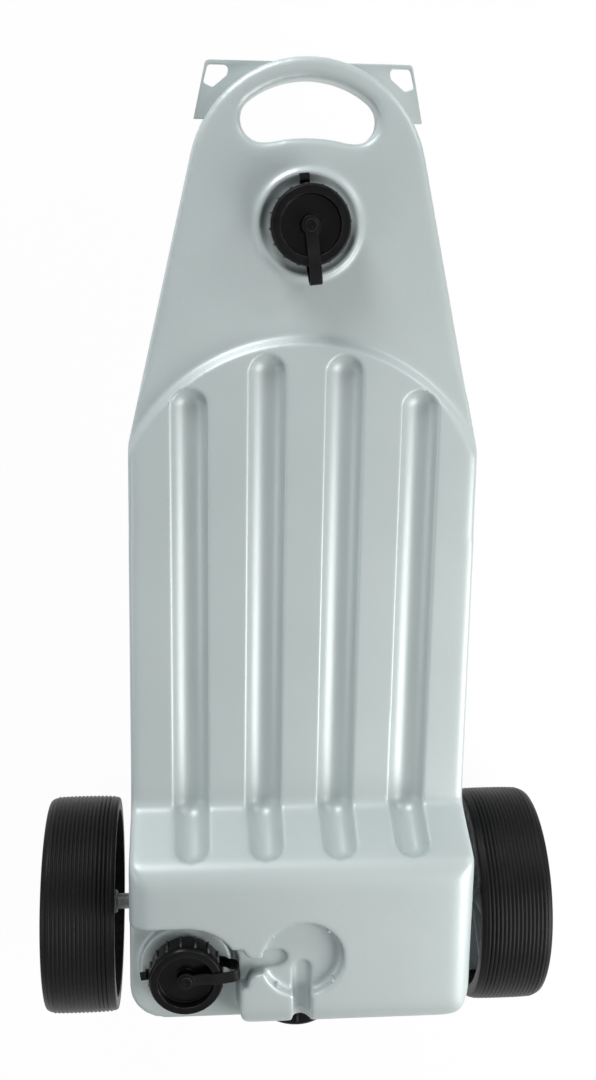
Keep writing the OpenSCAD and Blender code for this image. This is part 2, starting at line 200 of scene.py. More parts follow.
def make_floor():
    bpy.ops.mesh.primitive_plane_add(size=14)
    floor = bpy.context.object
    floor.name = "floor"
    mat = bpy.data.materials.new("white_floor")
    mat.use_nodes = True
    nodes, links = mat.node_tree.nodes, mat.node_tree.links
    nodes.clear()
    out = nodes.new("ShaderNodeOutputMaterial")
    paint = nodes.new("ShaderNodeBsdfDiffuse")
    paint.inputs["Color"].default_value = (0.9, 0.9, 0.9, 1)
    glow = nodes.new("ShaderNodeEmission")
    glow.inputs["Strength"].default_value = 1
    mix = mix_shader(nodes, links, paint, glow, out)
    share = nodes.new("ShaderNodeMath")
    share.operation = "MULTIPLY"
    share.inputs[1].default_value = 0.97
    links.new(seen_directly(nodes, links), share.inputs[0])
    links.new(share.outputs[0], mix.inputs["Fac"])
    floor.data.materials.append(mat)


# ---------------------------------------------------------------- shared surface effects

def new_group(name, inputs, outputs):
    group = bpy.data.node_groups.new(name, "ShaderNodeTree")
    for label, kind, value in inputs:
        socket = group.interface.new_socket(name=label, in_out="INPUT", socket_type=kind)
        socket.default_value = value
    for label, kind in outputs:
        group.interface.new_socket(name=label, in_out="OUTPUT", socket_type=kind)
    return group, group.nodes.new("NodeGroupInput"), group.nodes.new("NodeGroupOutput")


def value_node(tree, operation, a, b):
    node = tree.nodes.new("ShaderNodeMath")
    node.operation = operation
    for socket, value in zip(node.inputs, (a, b)):
        if isinstance(value, (int, float)):
            socket.default_value = value
        else:
            tree.links.new(value, socket)
    return node.outputs[0]


def noise_node(tree, vector, scale, detail=3.0, rough=0.5):
    node = tree.nodes.new("ShaderNodeTexNoise")
    node.inputs["Detail"].default_value = detail
    node.inputs["Roughness"].default_value = rough
    tree.links.new(vector, node.inputs["Vector"])
    if isinstance(scale, (int, float)):
        node.inputs["Scale"].default_value = scale
    else:
        tree.links.new(scale, node.inputs["Scale"])
    return node.outputs["Fac"]


def range_node(tree, value, low, high, to_low=0.0, to_high=1.0):
    node = tree.nodes.new("ShaderNodeMapRange")
    tree.links.new(value, node.inputs["Value"])
    for label, number in (("From Min", low), ("From Max", high), ("To Min", to_low), ("To Max", to_high)):
        node.inputs[label].default_value = number
    return node.outputs["Result"]


def moulded_grain():
    """Fine grain of a moulded face and slow clouds of tone across it."""
    group, given, out = new_group(
        "moulded_grain",
        [("Grain Scale", "NodeSocketFloat", 900.0), ("Cloud Scale", "NodeSocketFloat", 9.0)],
        [("Height", "NodeSocketFloat"), ("Tone", "NodeSocketFloat")],
    )
    where = group.nodes.new("ShaderNodeTexCoord").outputs["Object"]
    fine = noise_node(group, where, given.outputs["Grain Scale"], 2.0, 0.6)
    cloud = noise_node(group, where, given.outputs["Cloud Scale"], 4.0, 0.55)
    speck = range_node(group, fine, 0.35, 0.65)
    group.links.new(speck, out.inputs["Height"])
    tone = value_node(group, "ADD", value_node(group, "MULTIPLY", cloud, 0.75), value_node(group, "MULTIPLY", speck, 0.25))
    group.links.new(tone, out.inputs["Tone"])
    return group


def edge_wear_and_glints():
    """1 on proud edges: rubbed wear on most finishes, and a painted highlight standing in for glints on the caps' rims
    and ribs.
    """
    group, given, out = new_group(
        "edge_wear_and_glints",
        [("Amount", "NodeSocketFloat", 0.5)],
        [("Mask", "NodeSocketFloat")],
    )
    where = group.nodes.new("ShaderNodeTexCoord").outputs["Object"]
    point = group.nodes.new("ShaderNodeNewGeometry").outputs["Pointiness"]
    edge = range_node(group, point, 0.52, 0.60)
    broken = range_node(group, noise_node(group, where, 160.0, 4.0, 0.6), 0.35, 0.65)
    worn_and_glinting = value_node(group, "MULTIPLY", value_node(group, "MULTIPLY", edge, broken), given.outputs["Amount"])
    group.links.new(worn_and_glinting, out.inputs["Mask"])
    return group


def settled_dust():
    """Thin dust on what faces up."""
    group, given, out = new_group(
        "settled_dust",
        [("Amount", "NodeSocketFloat", 0.1), ("Scale", "NodeSocketFloat", 30.0)],
        [("Mask", "NodeSocketFloat")],
    )
    where = group.nodes.new("ShaderNodeTexCoord").outputs["Object"]
    apart = group.nodes.new("ShaderNodeSeparateXYZ")
    group.links.new(group.nodes.new("ShaderNodeNewGeometry").outputs["Normal"], apart.inputs[0])
    up = range_node(group, apart.outputs["Z"], 0.1, 1.0)
    patch = range_node(group, noise_node(group, where, given.outputs["Scale"], 5.0, 0.6), 0.35, 0.7)
    lying = value_node(group, "MULTIPLY", value_node(group, "MULTIPLY", up, patch), given.outputs["Amount"])
    group.links.new(lying, out.inputs["Mask"])
    return group


def finish_of(name, base, second, worn_and_glinting, rough, grain=(900, 0.06), cloud=9, wear_and_glint_amount=0.3, dust=0.05,
              dust_colour=(0.45, 0.44, 0.42), metal=0.0, specular=0.5):
    """A surface: two close tones, rubbed edges (on the caps a painted highlight for glints), thin dust, grain in its
    bump and its gloss.
    """
    mat = bpy.data.materials.new(name)
    mat.use_nodes = True
    tree = mat.node_tree
    tree.nodes.clear()
    out = tree.nodes.new("ShaderNodeOutputMaterial")
    face = tree.nodes.new("ShaderNodeBsdfPrincipled")
    tree.links.new(face.outputs[0], out.inputs["Surface"])
    face.inputs["Metallic"].default_value = metal
    face.inputs["Specular IOR Level"].default_value = specular
    effects = {}
    for label, settings in (("moulded_grain", {"Grain Scale": grain[0], "Cloud Scale": cloud}),
                            ("edge_wear_and_glints", {"Amount": wear_and_glint_amount}),
                            ("settled_dust", {"Amount": dust})):
        node = tree.nodes.new("ShaderNodeGroup")
        node.node_tree = bpy.data.node_groups[label]
        for key, number in settings.items():
            node.inputs[key].default_value = number
        effects[label] = node
    tone = effects["moulded_grain"].outputs["Tone"]
    colour = blend_colour(tree, range_node(tree, tone, 0.3, 0.7), base, second)
    # Edge colour over proud edges: wear on most finishes, a painted highlight (glints) on the caps.
    colour = blend_colour(tree, effects["edge_wear_and_glints"].outputs["Mask"], colour, worn_and_glinting)
    colour = blend_colour(tree, effects["settled_dust"].outputs["Mask"], colour, dust_colour)
    tree.links.new(colour, face.inputs["Base Color"])
    gloss = range_node(tree, tone, 0.3, 0.7, rough[0], rough[1])
    tree.links.new(value_node(tree, "ADD", gloss, value_node(
        tree, "MULTIPLY", effects["settled_dust"].outputs["Mask"], 0.5)), face.inputs["Roughness"])
    bump = tree.nodes.new("ShaderNodeBump")
    bump.inputs["Strength"].default_value = grain[1]
    bump.inputs["Distance"].default_value = 0.3 * mm
    tree.links.new(effects["moulded_grain"].outputs["Height"], bump.inputs["Height"])
    tree.links.new(bump.outputs[0], face.inputs["Normal"])
    return mat


def blend_colour(tree, mask, first, second):
    node = tree.nodes.new("ShaderNodeMix")
    node.data_type = "RGBA"
    tree.links.new(mask, node.inputs["Factor"])
    for socket, value in ((node.inputs[6], first), (node.inputs[7], second)):
        if isinstance(value, tuple):
            socket.default_value = (*value, 1)
        else:
            tree.links.new(value, socket)
    return node.outputs[2]


def make_finishes():
    moulded_grain()
    edge_wear_and_glints()
    settled_dust()
    return {
        "tank": finish_of("silver_polyethylene", (0.45, 0.51, 0.508), (0.485, 0.545, 0.543), (0.60, 0.65, 0.65),
                          (0.36, 0.44), grain=(1100, 0.10), cloud=7, wear_and_glint_amount=0.15, dust=0.03, metal=0.15,
                          specular=0.55),
        # Caps: the light edge colour at a strong amount is a painted highlight, bright glints on every rim and rib
        # rather than wear.
        "cap": finish_of("black_polypropylene", (0.0025, 0.0025, 0.003), (0.0045, 0.0045, 0.005),
                         (0.25, 0.25, 0.25), (0.18, 0.28), grain=(1400, 0.06), cloud=30, wear_and_glint_amount=0.7, dust=0.008,
                         specular=0.09),
        "strap": finish_of("black_polyethylene", (0.005, 0.005, 0.0055), (0.009, 0.009, 0.0095),
                           (0.08, 0.08, 0.08), (0.30, 0.42), grain=(1200, 0.15), cloud=40, wear_and_glint_amount=0.25, dust=0.015,
                           specular=0.08),
        "seal": finish_of("soft_rubber", (0.03, 0.03, 0.03), (0.05, 0.05, 0.05), (0.09, 0.09, 0.09),
                          (0.6, 0.75), grain=(1500, 0.2), cloud=40, wear_and_glint_amount=0.1, dust=0.02),
        "tyre": finish_of("tyre_rubber", (0.004, 0.004, 0.0045), (0.008, 0.0078, 0.0078), (0.04, 0.04, 0.039),
                          (0.30, 0.42), grain=(1000, 0.25), cloud=18, wear_and_glint_amount=0.3, dust=0.03,
                          dust_colour=(0.08, 0.078, 0.076), specular=0.1),
        "hub": finish_of("pale_polypropylene", (0.50, 0.55, 0.57), (0.56, 0.61, 0.63), (0.68, 0.72, 0.73),
                         (0.36, 0.46), grain=(1000, 0.10), cloud=14, wear_and_glint_amount=0.2, dust=0.06),
        "steel": finish_of("zinc_plated_steel", (0.16, 0.165, 0.17), (0.26, 0.265, 0.27), (0.45, 0.45, 0.45),
                           (0.30, 0.45), grain=(700, 0.12), cloud=90, wear_and_glint_amount=0.3, dust=0.02, metal=1.0),
    }


# ---------------------------------------------------------------- tools of the bench

def only(obj):
    bpy.ops.object.select_all(action="DESELECT")
    obj.select_set(True)
    bpy.context.view_layer.objects.active = obj


def shape(obj, kind, **settings):
    """Adds a modifier and applies it."""
    only(obj)
    modifier = obj.modifiers.new(kind.lower(), kind)
    for key, value in settings.items():
        setattr(modifier, key, value)
    bpy.ops.object.modifier_apply(modifier=modifier.name)


def combine(obj, tool, operation):
    shape(obj, "BOOLEAN", operation=operation, solver="MANIFOLD", object=tool)
    bpy.data.objects.remove(tool)


def cut(obj, tool):
    combine(obj, tool, "DIFFERENCE")


def add(obj, tool):
    combine(obj, tool, "UNION")


def join(first, *others):
    only(first)
    for obj in others:
        obj.select_set(True)
    bpy.ops.object.join()
    return first


def arc(a, b, c, radius, steps):
    """Points of the arc that rounds the corner at b."""
    a, b, c = Vector(a), Vector(b), Vector(c)
    u, w = (a - b).normalized(), (c - b).normalized()
    half = u.angle(w) / 2
    mid = b + (u + w).normalized() * radius / math.sin(half)
    start, end = b + u * radius / math.tan(half), b + w * radius / math.tan(half)
    first = math.atan2(start.y - mid.y, start.x - mid.x)
    turn = math.atan2(end.y - mid.y, end.x - mid.x) - first
    turn = (turn + 3 * math.pi) % (2 * math.pi) - math.pi
    angles = [first + turn * i / steps for i in range(steps + 1)]
    return [(mid.x + radius * math.cos(t), mid.y + radius * math.sin(t)) for t in angles]


def rounded(corners):
    """A closed outline from corners (x, y, radius); a radius of 0 stays sharp."""
    outline = []
    for i, (x, y, radius) in enumerate(corners):
        before, after = corners[i - 1], corners[(i + 1) % len(corners)]
        if radius:
            steps = max(3, min(32, int(radius / mm)))
            outline += arc(before[:2], (x, y), after[:2], radius, steps)
        else:
            outline.append((x, y))
    return outline


def arch(x, y, radius, start, end, steps):
    """Points of an arc by its centre, with its angles in degrees."""
    angles = [math.radians(start + (end - start) * i / steps) for i in range(steps + 1)]
    return [(x + radius * math.cos(t), y + radius * math.sin(t)) for t in angles]


def plate(name, outline, low, high, top=None):
    """A solid between two heights; its outline may change to another one at the top."""
    bpy.ops.mesh.primitive_circle_add(vertices=len(outline), radius=mm, fill_type="NGON")
    obj = bpy.context.object
    obj.name = name
    for vertex, (x, y) in zip(obj.data.vertices, outline):
        vertex.co = (x, y, low)
    bpy.ops.object.mode_set(mode="EDIT")
    bpy.ops.mesh.select_all(action="SELECT")
    bpy.ops.mesh.extrude_region_move(TRANSFORM_OT_translate={"value": (0, 0, high - low)})
    bpy.ops.mesh.select_all(action="SELECT")
    bpy.ops.mesh.normals_make_consistent(inside=False)
    bpy.ops.object.mode_set(mode="OBJECT")
    if top:
        ends = {(round(x / mm, 2), round(y / mm, 2)): place for (x, y), place in zip(outline, top)}
        for vertex in obj.data.vertices:
            if abs(vertex.co.z - high) < 0.01 * mm:
                vertex.co.x, vertex.co.y = ends[(round(vertex.co.x / mm, 2), round(vertex.co.y / mm, 2))]
    return obj


def lathe(name, profile, steps=96):
    """A turned piece: a closed (radius, height) profile spun round Z."""
    bpy.ops.mesh.primitive_circle_add(vertices=len(profile), radius=mm, fill_type="NOTHING")
    obj = bpy.context.object
    obj.name = name
    for vertex, (radius, height) in zip(obj.data.vertices, profile):
        vertex.co = (radius, 0, height)
    bpy.ops.object.mode_set(mode="EDIT")
    bpy.ops.mesh.select_all(action="SELECT")
    bpy.ops.mesh.spin(steps=steps, angle=2 * math.pi, center=(0, 0, 0), axis=(0, 0, 1))
    bpy.ops.mesh.select_all(action="SELECT")
    bpy.ops.mesh.remove_doubles(threshold=0.002 * mm)
    bpy.ops.mesh.dissolve_degenerate(threshold=0.002 * mm)
    bpy.ops.mesh.delete_loose()
    bpy.ops.mesh.select_all(action="SELECT")
    bpy.ops.mesh.normals_make_consistent(inside=False)
    bpy.ops.object.mode_set(mode="OBJECT")
    return obj


def rod(name, radius, start, end, steps=64):
    """A plain round bar between two points."""
    run = Vector(end) - Vector(start)
    bpy.ops.mesh.primitive_cylinder_add(vertices=steps, radius=radius, depth=run.length)
    obj = bpy.context.object
    obj.name = name
    turn = run.to_track_quat("Z", "Y").to_matrix().to_4x4()
    obj.data.transform(Matrix.Translation((Vector(start) + Vector(end)) / 2) @ turn)
    return obj


def block(name, low, high, bevel=0.0, segments=2):
    """A bar with its edges rounded."""
    bpy.ops.mesh.primitive_cube_add(size=1)
    obj = bpy.context.object
    obj.name = name
    low, high = Vector(low), Vector(high)
    for vertex in obj.data.vertices:
        vertex.co = [middle + c * span for middle, c, span in zip((low + high) / 2, vertex.co, high - low)]
    if bevel:
        shape(obj, "BEVEL", width=bevel, segments=segments, limit_method="NONE")
    return obj


def capsule(name, start, end, radius):
    """A ball drawn out along a line."""
    bpy.ops.mesh.primitive_uv_sphere_add(segments=48, ring_count=24, radius=radius)
    obj = bpy.context.object
    obj.name = name
    run = Vector(end) - Vector(start)
    bpy.ops.object.mode_set(mode="EDIT")
    bpy.ops.mesh.select_all(action="DESELECT")
    bpy.ops.object.mode_set(mode="OBJECT")
    for vertex in obj.data.vertices:
        vertex.select = vertex.co.z > 0.01 * mm
    bpy.ops.object.mode_set(mode="EDIT")
    bpy.ops.transform.translate(value=(0, 0, run.length))
    bpy.ops.object.mode_set(mode="OBJECT")
    turn = run.to_track_quat("Z", "Y").to_matrix().to_4x4()
    obj.data.transform(Matrix.Translation(start) @ turn)
    return obj


def placed(obj, matrix):
    obj.data.transform(matrix)
    obj.data.update()
    return obj


def smooth(obj, degrees=35):
    only(obj)
    bpy.ops.object.shade_smooth_by_angle(angle=math.radians(degrees))


def dress(obj, finish, slot, body, *replaced):
    """Gives a finished piece its material and the body it rides on; its slot is not used."""
    obj.data.materials.clear()
    obj.data.materials.append(FINISHES[finish])
    if body:
        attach(obj, body)
    if replaced:
        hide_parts(*replaced)


# ---------------------------------------------------------------- the tank

def front_outline(grow=0.0):
    rise = HANDLE_Y - SHOULDER_Y
    half, reach, radius = HALF_W + grow, SHOULDER_W + grow, HANDLE_R + grow
    lean = math.atan2(rise, -reach) - math.asin(radius / math.hypot(reach, rise))
    apex = SHOULDER_Y - reach * math.tan(lean)
    corner = CORNER_R + grow
    return rounded([(-half, BOTTOM - grow, corner), (half, BOTTOM - grow, corner), (reach, SHOULDER_Y, 30 * mm),
                    (0, apex, radius), (-reach, SHOULDER_Y, 30 * mm)])


def side_profile():
    thin_y, back = TOP - 88 * mm, NECK - HANDLE_T
    return rounded([(BOTTOM, 72 * mm, 30 * mm), (BOTTOM + 185 * mm, 0, 30 * mm), (SHOULDER_Y, 0, 60 * mm),
                    (thin_y, back, 60 * mm), (TOP, back, 0), (TOP, SLAB, 0), (SLOPE_Y, SLAB, 4 * mm),
                    (BOX_Y, BOX_FRONT, 26 * mm), (BOTTOM, BOX_FRONT, 28 * mm)])


def hand_hole_outline():
    end_y = HANDLE_Y + math.sqrt((HANDLE_R - GRIP_H - HAND_END_R) ** 2 - HAND_END_X ** 2)
    sill_r = 138 * mm
    sill_y = end_y - HAND_END_R + 5 * mm - sill_r
    tip = math.degrees(math.atan2(end_y - HANDLE_Y, HAND_END_X))
    foot = math.degrees(math.atan2(sill_y - end_y, -HAND_END_X))
    sill = math.degrees(math.atan2(end_y - sill_y, HAND_END_X))
    right = arch(HAND_END_X, end_y, HAND_END_R, tip, foot, 20)
    over = arch(0, HANDLE_Y, HANDLE_R - GRIP_H, 180 - tip, tip, 32)
    left = [(-x, y) for x, y in reversed(right)]
    under = arch(0, sill_y, sill_r, sill, 180 - sill, 24)
    return over + right[1:-1] + under[1:-1] + left[1:-1]


def above_arch(grow):
    outer = [(FAR, ARCH_Y), (FAR, 2 * FAR), (-FAR, 2 * FAR), (-FAR, ARCH_Y)]
    return arch(0, ARCH_Y, ARCH_R + grow, 180, 0, 96) + outer


def recess_outline(grow=0.0):
    x, y, radius, flare = corner_point.x, corner_point.y, RECESS_R + grow, 24 * mm
    foot = arch(x + radius + flare, BOTTOM + flare, flare, 180, 270, 12)
    return ([(-FAR, y + radius)] + arch(x, y, radius, 90, 0, 32) + foot
            + [(foot[-1][0], -2 * FAR), (-FAR, -2 * FAR)])


def channel(name, mouth, flare, head):
    """A channel along -X whose lips flare where it runs out."""
    lip = arch(-mouth + flare, -CHANNEL_R - flare, flare, 90, 180, 12)
    side = arch(-head, 0, CHANNEL_R, 90, -90, 16) + lip + [(-FAR, lip[-1][1])]
    return plate(name, side + [(x, -y) for x, y in reversed(side[17:])], CHANNEL_FLOOR, FAR)


def cut_box_sinks(tank):
    cut(tank, plate("recess", recess_outline(-8 * mm), RECESS_FLOOR, FAR, recess_outline(16 * mm)))
    cut(tank, rod("well", WELL_R, (0, WELL_Y, WELL_FLOOR), (0, WELL_Y, FAR), 128))
    mouth = math.hypot(corner_point.x, WELL_Y - corner_point.y) - RECESS_R
    turn = Matrix.Translation((0, WELL_Y, 0)) @ Matrix.Rotation(WELL_TURN, 4, "Z")
    cut(tank, placed(channel("side_channel", mouth, 13 * mm, WELL_R - 16 * mm), turn))
    turn = Matrix.Translation((0, WELL_Y, 0)) @ Matrix.Rotation(math.radians(90), 4, "Z")
    cut(tank, placed(channel("front_channel", WELL_Y - BOTTOM - 2 * mm, 8 * mm, CHANNEL_R + 7 * mm), turn))
    middle = CHANNEL_FLOOR + CHANNEL_R
    cut(tank, capsule("channel_mouth", (0, BOTTOM - 14 * mm, middle - 22 * mm), (0, BOTTOM + 16 * mm, middle),
                      CHANNEL_R * 0.999))


def cut_flutes(tank):
    slope = math.atan2(BOX_FRONT - SLAB, -(SLOPE_Y - BOX_Y))
    bend = SLOPE_Y + FLUTE_RISE / math.tan(slope / 2)
    run = (BOX_FRONT - SLAB) / math.sin(slope) - 2 * FLUTE_R
    for k in (-1.5, -0.5, 0.5, 1.5):
        x = k * FLUTE_PITCH
        top = ARCH_Y + math.sqrt(ARCH_R ** 2 - x ** 2) - 8 * mm - FLUTE_R
        elbow = Vector((x, bend, SLAB + FLUTE_RISE))
        foot = elbow + Vector((0, math.cos(slope), math.sin(slope))) * run
        groove = capsule("flute", elbow, (x, top, elbow.z), FLUTE_R)
        add(groove, capsule("scoop", elbow, foot, FLUTE_R * 1.0001))
        cut(tank, groove)


def ring_bead():
    bead = rounded([(40.8 * mm, -2 * mm, 0), (49.4 * mm, -2 * mm, 0), (49.2 * mm, 0.2 * mm, 0.8 * mm),
                    (47.8 * mm, 3.6 * mm, 1.6 * mm), (42.8 * mm, 3.6 * mm, 1.4 * mm), (41.2 * mm, 0, 0)])
    return placed(lathe("ring", bead), filler_place)


def make_tank():
    tank = plate("tank_body", front_outline(-0.35 * mm), -0.01, FAR)
    side = placed(plate("side", side_profile(), -FAR, FAR), side_turn)
    combine(tank, side, "INTERSECT")
    across, high = HALF_W + 1 * mm, BOX_FRONT + 0.1 * mm
    section = rounded([(-across, -10 * mm, 0), (across, -10 * mm, 0), (across, high, 24 * mm),
                       (-across, high, 24 * mm)])
    combine(tank, placed(plate("section", section, -FAR, FAR), Matrix.Rotation(math.radians(90), 4, "X")), "INTERSECT")
    cut(tank, plate("rough_step", [(x, y + 30 * mm) for x, y in above_arch(0)], NECK, FAR))
    cut(tank, plate("hand_hole", hand_hole_outline(), -0.1, FAR))
    shape(tank, "REMESH", mode="VOXEL", voxel_size=3 * mm)
    shape(tank, "SMOOTH", factor=0.5, iterations=18)
    cut(tank, plate("neck_step", above_arch(4 * mm), NECK, NECK + 2 * STEP, above_arch(-12 * mm)))
    cut_box_sinks(tank)
    cut_flutes(tank)
    x, y = corner_point.x, corner_point.y
    add(tank, rod("seat", CAP_R + 8.5 * mm, (x, y, RECESS_FLOOR - 2 * mm), (x, y, corner_point.z), 128))
    add(tank, ring_bead())
    shape(tank, "REMESH", mode="VOXEL", voxel_size=2 * mm)
    shape(tank, "SMOOTH", factor=0.5, iterations=5)
    for place in CLOSURES.values():
        start, end = place @ Vector((0, 0, -26 * mm)), place @ Vector((0, 0, 20 * mm))
        cut(tank, rod("bore", SPOUT_BORE_R, start, end))
    faces = sum(len(face.vertices) - 2 for face in tank.data.polygons)
    shape(tank, "DECIMATE", ratio=min(1.0, 190000 / faces))
    only(tank)
    bpy.ops.object.shade_smooth()
    dress(tank, "tank", "tank_plastic", "tank", "tank_shell")


def make_nibs():
    nibs = []
    for k in range(4):
        nib = block("nib", (WELL_R - 2.2 * mm, -1.6 * mm, -1 * mm), (WELL_R + 2 * mm, 1.6 * mm, 10.5 * mm), 0.7 * mm)
        turn = Matrix.Rotation(math.radians(50 + 90 * k), 4, "Z")
        nibs.append(placed(nib, Matrix.Translation((0, WELL_Y, WELL_FLOOR)) @ turn))
    nibs = join(*nibs)
    nibs.name = "well_nibs"
    smooth(nibs)
    dress(nibs, "tank", "tank_plastic", "tank")


def make_ears():
    half, up = 92 * mm, TOP - 4.5 * mm
    slant = (SHOULDER_W - half) / (up - SHOULDER_Y)
    low = 50 * mm
    outline = rounded([(half - 64 * mm, up, 0), (half - 18 * mm, up - low, 0),
                       (half + low * slant, up - low, 0), (half, up, 4 * mm)])
    hole = rounded([(half - 21 * mm, up - 4 * mm, 4 * mm), (half - 19 * mm, up - 12.5 * mm, 4 * mm),
                    (half - 6 * mm, up - 23 * mm, 3 * mm), (half + 2 * mm, up - 19.5 * mm, 2.5 * mm),
                    (half - 2 * mm, up - 4 * mm, 3 * mm)])
    for name, turn in (("ear_right", 1), ("ear_left", -1)):
        ear = plate(name, [(x * turn, y) for x, y in outline], NECK - 20 * mm, NECK - 16 * mm)
        cut(ear, plate("hole", [(x * turn, y) for x, y in hole], NECK - 30 * mm, NECK))
        shape(ear, "BEVEL", width=1.1 * mm, segments=3, limit_method="ANGLE", angle_limit=math.radians(50))
        smooth(ear)
        dress(ear, "tank", "tank_plastic", "tank")


def make_seam():
    """The fine ridge where the two halves of the mould met."""
    z = NECK - 18 * mm
    seam = plate("mould_seam", front_outline(-0.02 * mm), z - 0.5 * mm, z + 0.5 * mm)
    cut(seam, plate("inner", front_outline(-3 * mm), z - 3 * mm, z + 3 * mm))
    dress(seam, "tank", "tank_plastic", "tank")


# ---------------------------------------------------------------- closures

def thread(name, radius, low, turns, pitch, depth, inward=False):
    """One raised thread that winds up a spout."""
    steps = int(48 * turns)
    side = -1 if inward else 1
    section = [(0, -1.3), (1, -0.45), (1, 0.45), (0, 1.3), (-0.6, 0)]
    verts, faces = [], []
    for i in range(steps + 1):
        turn = 2 * math.pi * turns * i / steps
        grow = min(1, i / 6, (steps - i) / 6) * side * depth
        for out, up in section:
            r, z = radius + out * grow, low + pitch * turns * i / steps + up * mm
            verts.append((r * math.cos(turn), r * math.sin(turn), z))
    n = len(section)
    for i in range(steps):
        for k in range(n):
            a, b = i * n + k, i * n + (k + 1) % n
            faces.append((a, b, b + n, a + n))
    faces += [tuple(range(n)), tuple(steps * n + k for k in reversed(range(n)))]
    mesh = bpy.data.meshes.new(name)
    mesh.from_pydata(verts, [], faces)
    obj = bpy.data.objects.new(name, mesh)
    bpy.context.scene.collection.objects.link(obj)
    only(obj)
    bpy.ops.object.mode_set(mode="EDIT")
    bpy.ops.mesh.select_all(action="SELECT")
    bpy.ops.mesh.normals_make_consistent(inside=False)
    bpy.ops.object.mode_set(mode="OBJECT")
    return obj


def make_spout(name, place):
    wall = rounded([(SPOUT_BORE_R, -3 * mm, 0), (SPOUT_R, -3 * mm, 0), (SPOUT_R, SPOUT_H, 0.8 * mm),
                    (SPOUT_BORE_R, SPOUT_H, 0.8 * mm)])
    spout = lathe(name + "_spout", wall)
    spout = join(spout, thread("ridge", SPOUT_R - 0.1 * mm, 4.6 * mm, 1.2, 6 * mm, 0.8 * mm))
    placed(spout, place)
    smooth(spout)
    dress(spout, "tank", "tank_plastic", "tank")


def make_cap(name, place):
    skirt, flange, bore = CAP_R - 1.5 * mm, CAP_R - 0.8 * mm, SPOUT_R + 1.1 * mm
    top = SEAL_Z + 2 * mm
    profile = rounded([
        (bore, SKIRT_Z, 0.5 * mm), (skirt, SKIRT_Z, 0.6 * mm), (skirt, CAP_Z - 9 * mm, 0.4 * mm),
        (flange, CAP_Z - 8 * mm, 0.4 * mm), (flange, CAP_Z - 3 * mm, 1.5 * mm), (CAP_R - 2.4 * mm, CAP_Z, 1.2 * mm),
        (DISH_R, CAP_Z, 0.8 * mm), (DISH_R - 0.5 * mm, DISH_Z, 1 * mm), (0, DISH_Z, 0), (0, top, 0),
        (bore, top, 0.6 * mm)])
    cap = lathe(name + "_cap_moulding", profile, 128)
    ribs = []
    for k in range(16):
        rib = block("rib", (skirt - mm, -1 * mm, SKIRT_Z + 0.4 * mm), (CAP_R, 1 * mm, CAP_Z - 5 * mm), 0.5 * mm)
        ribs.append(placed(rib, Matrix.Rotation(math.radians(22.5 * k), 4, "Z")))
    head, neck = LOOP_Z + STRAP_T + SEAT_GAP, 4.2 * mm
    stud = lathe("stud", rounded([
        (0, DISH_Z - mm, 0), (neck, DISH_Z - mm, 0), (neck, head, 0), (5.8 * mm, head, 0.3 * mm),
        (5.6 * mm, head + 1.6 * mm, 0.6 * mm), (2.2 * mm, head + 1.5 * mm, 0.3 * mm),
        (1.8 * mm, head + 0.9 * mm, 0.3 * mm), (0, head + 0.9 * mm, 0)]), 48)
    step = lathe("dish_ring", rounded([
        (9.5 * mm, DISH_Z - 0.5 * mm, 0), (10.7 * mm, DISH_Z - 0.5 * mm, 0),
        (10.6 * mm, DISH_Z + 0.5 * mm, 0.3 * mm), (9.6 * mm, DISH_Z + 0.5 * mm, 0.3 * mm)]), 64)
    cap = placed(join(cap, stud, step, *ribs), place)
    smooth(cap, 40)
    dress(cap, "cap", "cap_plastic", name + "_lid", name + "_cap")


def ribbon(name, path, width, thickness):
    """A flat strap along a smooth path of (x, z) points."""
    points = [Vector(p) for p in path]
    line = []
    for i in range(len(points) - 1):
        p0, p1, p2 = points[max(i - 1, 0)], points[i], points[i + 1]
        p3 = points[min(i + 2, len(points) - 1)]
        for k in range(6):
            t = k / 6
            line.append(0.5 * ((2 * p1) + (p2 - p0) * t + (2 * p0 - 5 * p1 + 4 * p2 - p3) * t * t
                               + (3 * p1 - p0 - 3 * p2 + p3) * t ** 3))
    line.append(points[-1])
    bpy.ops.mesh.primitive_grid_add(x_subdivisions=len(line) - 1, y_subdivisions=4, size=1)
    obj = bpy.context.object
    obj.name = name
    for vertex in obj.data.vertices:
        at = line[round((vertex.co.x + 0.5) * (len(line) - 1))]
        vertex.co = (at.x, vertex.co.y * width, at.y)
    shape(obj, "SOLIDIFY", thickness=thickness, offset=0)
    shape(obj, "BEVEL", width=0.5 * mm, segments=2, limit_method="ANGLE", angle_limit=math.radians(50))
    return obj


